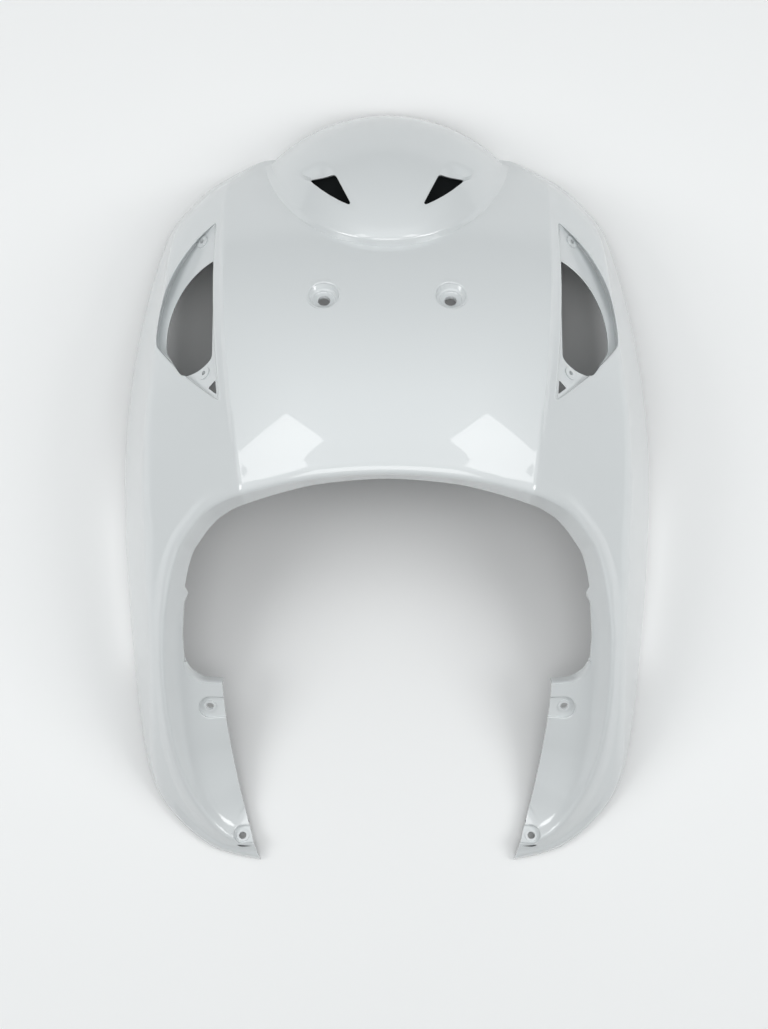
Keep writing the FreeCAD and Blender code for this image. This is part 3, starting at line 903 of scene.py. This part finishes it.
# %% Floor
floor_half = 6.0
floor_gap = 0.2
bm = bmesh.new()
bmesh.ops.create_grid(bm, x_segments=1, y_segments=1, size=floor_half,
                      matrix=Matrix.Translation((0, 0, -floor_gap * MM)))
floor = to_object(bm, "floor")
# Matt pale board: no highlight, only the shadow of the part.
floor_mat = bpy.data.materials.new("matt_pale_board")
floor_mat.use_nodes = True
floor_mat.node_tree.nodes.clear()
board = node(floor_mat.node_tree, "ShaderNodeBsdfPrincipled", {"Base Color": linear("#f0f1f1"), "Roughness": 0.9})
node(floor_mat.node_tree, "ShaderNodeOutputMaterial", {}, {"Surface": (board, "BSDF")})
floor.data.materials.append(floor_mat)
print("floor:", 2.0 * floor_half, "m wide")

# %% [markdown]
# ## Light of the room
# Gloss paint shows what stands round it. The panel leans towards the top of the picture, so it mirrors a
# broad bright bank there, and the legs mirror the duller rest of the room. A large lamp could
# do this, but it would show its edges in the paint. The world can fade out on all sides of the bank.

# %% Light of the room
room_light, bank_light = 0.3, 0.9
scene = bpy.context.scene
scene.view_settings.view_transform = "Standard"
world = bpy.data.worlds.new("studio")
scene.world = world
world.use_nodes = True
tree = world.node_tree
tree.nodes.clear()
sky = node(tree, "ShaderNodeTexCoord")
parts = node(tree, "ShaderNodeSeparateXYZ", {}, {"Vector": (sky, "Generated")})
side = node(tree, "ShaderNodeMath", {"operation": "ABSOLUTE"}, {0: (parts, "X")})
near = node(tree, "ShaderNodeMapRange", {"From Min": 0.12, "From Max": 0.4}, {"Value": (parts, "Y")})
far = node(tree, "ShaderNodeMapRange", {"From Min": 0.92, "From Max": 0.6}, {"Value": (parts, "Y")})
wide = node(tree, "ShaderNodeMapRange", {"From Min": 0.62, "From Max": 0.3}, {"Value": (side, 0)})
tall = node(tree, "ShaderNodeMath", {"operation": "MULTIPLY"}, {0: (near, "Result"), 1: (far, "Result")})
bank = node(tree, "ShaderNodeMath", {"operation": "MULTIPLY"}, {0: (tall, 0), 1: (wide, "Result")})
level = node(tree, "ShaderNodeMath", {"operation": "MULTIPLY_ADD", 1: bank_light, 2: room_light}, {0: (bank, 0)})
glow = node(tree, "ShaderNodeBackground", {"Color": linear("#f4f7f8")}, {"Strength": (level, 0)})
node(tree, "ShaderNodeOutputWorld", {}, {"Surface": (glow, "Background")})
print("world nodes:", len(tree.nodes))

# %% [markdown]
# ## Lamps
# Two small windows give the two bright squares low on the panel. Two side lamps throw the soft shadows on the
# inner sides of the legs, and one lamp overhead lights the floor in the arch. Area lamps are used
# because their size makes the shadows soft.

# %% Lamps


def lamp(name, at, size, power):
    """Area lamp that points at the part."""
    light = bpy.data.lights.new(name, "AREA")
    light.shape = "RECTANGLE"
    light.size, light.size_y = size
    light.energy = power
    obj = bpy.data.objects.new(name, light)
    scene.collection.objects.link(obj)
    obj.location = at
    obj.rotation_euler = (Vector((0, 0, 0.1)) - Vector(at)).to_track_quat("-Z", "Y").to_euler()
    return obj


lamps = [lamp("overhead", (0.0, -0.15, 2.2), (1.2, 1.0), 8.5)]
for side in (-1, 1):
    lamps.append(lamp("window", (side * 0.68, 0.60, 1.55), (0.5, 0.34), 1.3))
    lamps.append(lamp("side_light", (side * 1.35, -0.1, 1.35), (0.7, 0.9), 10.0))
print("lamps:", [(obj.name, obj.data.energy) for obj in lamps])

# %% [markdown]
# ## Camera
# The camera looks straight down from 1.5 m, a little off the middle of the part. A camera's own axes
# already point that way, so it needs no turn.

# %% Camera
camera_data = bpy.data.cameras.new("photo_view")
camera_data.sensor_fit = "VERTICAL"
camera_data.sensor_height = 36.0
camera_data.lens = 64.98
camera = bpy.data.objects.new("photo_view", camera_data)
scene.collection.objects.link(camera)
camera.location = (-0.0024, -0.0201, 1.5)
scene.camera = camera
print("camera at", tuple(round(c, 4) for c in camera.location))
